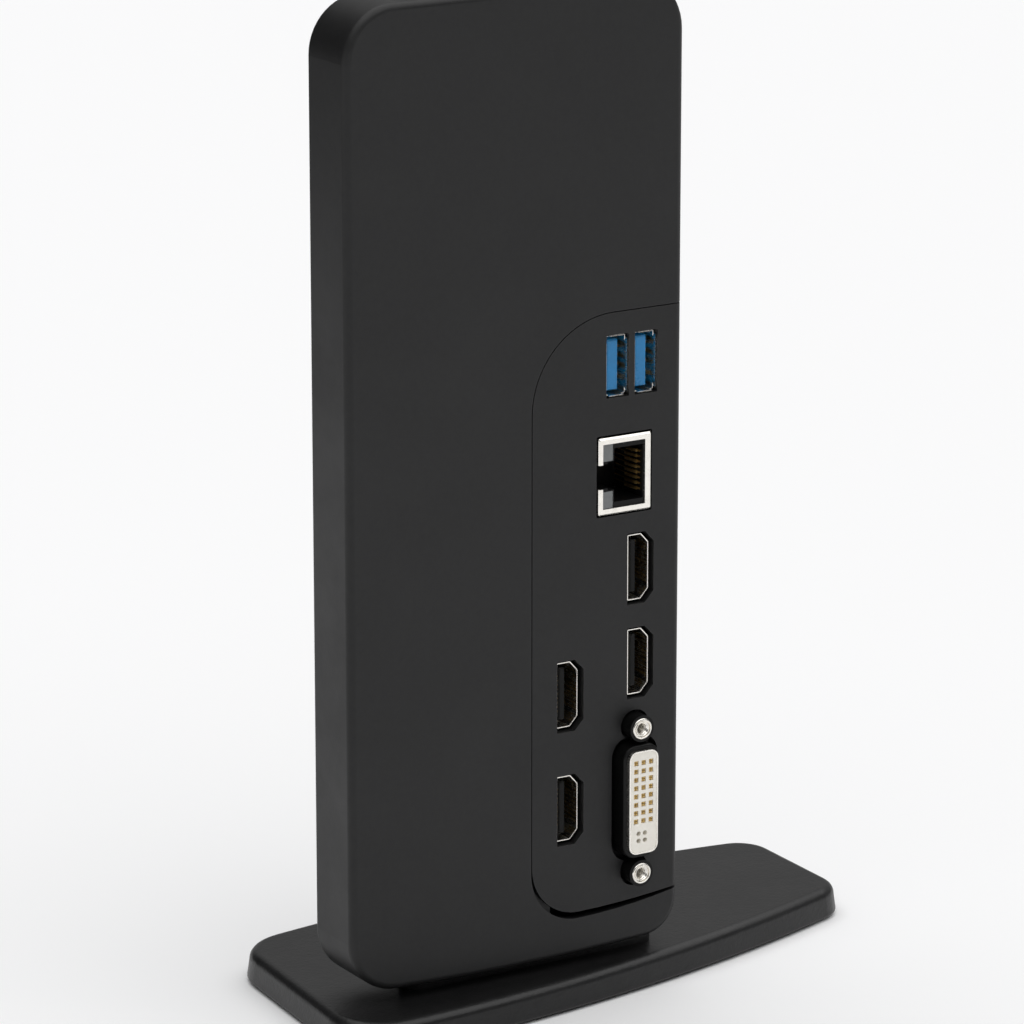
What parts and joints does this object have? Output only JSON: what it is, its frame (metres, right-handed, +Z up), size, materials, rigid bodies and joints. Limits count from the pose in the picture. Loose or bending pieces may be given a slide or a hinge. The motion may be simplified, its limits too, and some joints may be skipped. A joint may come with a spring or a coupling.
{
  "type": "laptop docking station",
  "caption": "Upright laptop docking station: a thin black tower with display, network and USB sockets on one broad face, standing on a long weighted base plate.",
  "frame": {"origin": "on the desk plane, at the centre of the base's footprint", "axes": "+Z up; +X to the right along the tower's broad face, seen from the port side; -Y is the side that the ports face"},
  "size_m": [0.143, 0.07, 0.226],
  "materials": {
    "tower_plastic": "fine moulded texture, matte black",
    "panel_plastic": "fine moulded texture, matte black",
    "base_plastic": "coarser moulded texture, matte black",
    "button_plastic": "satin black",
    "socket_black": "plain black",
    "blue_plastic": "plain",
    "ivory_plastic": "plain",
    "clear_plastic": "frosted clear",
    "nickel": "satin nickel plate",
    "gold_contact": "thin gold plate",
    "screw_steel": "black zinc",
    "ballast_steel": "zinc plated sheet",
    "sink_aluminium": "extruded",
    "can_aluminium": "drawn can",
    "chip_plastic": "moulded epoxy",
    "circuit_board": "green solder mask",
    "pad_rubber": "soft gap pad",
    "foot_rubber": "matte"
  },
  "bodies": {
    "dock": {"back_cover": "tower_plastic", "base_cover": "base_plastic", "base_plate": "base_plastic", "base_screws": "screw_steel", "base_weight": "ballast_steel", "button_spring": "screw_steel", "capacitors": "can_aluminium", "cover_screws": "screw_steel", "crystal": "can_aluminium", "dc_jack_body": "socket_black", "dc_jack_contacts": "nickel", "display_controller": "chip_plastic", "dvi_contacts": "gold_contact", "dvi_housing": "socket_black", "dvi_insulator": "ivory_plastic", "dvi_shell": "nickel", "ethernet_controller": "chip_plastic", "ethernet_magnetics": "chip_plastic", "hdmi_1_contacts": "gold_contact", "hdmi_1_insulator": "socket_black", "hdmi_1_shell": "nickel", "hdmi_2_contacts": "gold_contact", "hdmi_2_insulator": "socket_black", "hdmi_2_shell": "nickel", "hdmi_3_contacts": "gold_contact", "hdmi_3_insulator": "socket_black", "hdmi_3_shell": "nickel", "hdmi_4_contacts": "gold_contact", "hdmi_4_insulator": "socket_black", "hdmi_4_shell": "nickel", "heatsink": "sink_aluminium", "host_socket_contacts": "gold_contact", "host_socket_shell": "nickel", "host_socket_tongue": "socket_black", "hub_controller": "chip_plastic", "inductors": "chip_plastic", "jackscrews": "nickel", "light_pipe": "clear_plastic", "main_board": "circuit_board", "neck_nuts": "screw_steel", "neck_screws": "screw_steel", "port_panel": "panel_plastic", "port_shell": "tower_plastic", "rj45_body": "socket_black", "rj45_contacts": "gold_contact", "rj45_light_pipes": "clear_plastic", "rj45_shell": "nickel", "rubber_feet": "foot_rubber", "stand_neck": "base_plastic", "status_led": "clear_plastic", "switch_bracket": "tower_plastic", "tact_switch": "chip_plastic", "thermal_pad": "pad_rubber", "usb_a_1_contacts": "gold_contact", "usb_a_1_shell": "nickel", "usb_a_1_tongue": "blue_plastic", "usb_a_2_contacts": "gold_contact", "usb_a_2_shell": "nickel", "usb_a_2_tongue": "blue_plastic"},
    "button": {"power_button": "button_plastic"}
  },
  "joints": [
    {"name": "power_button_press", "type": "slide", "parent": "dock", "child": "button", "axis": [0, 0, -1], "range_m": [0, 0.0007], "stiffness_N_per_m": 1200, "springref_m": -0.0006, "deforming": ["button_spring"]}
  ]
}
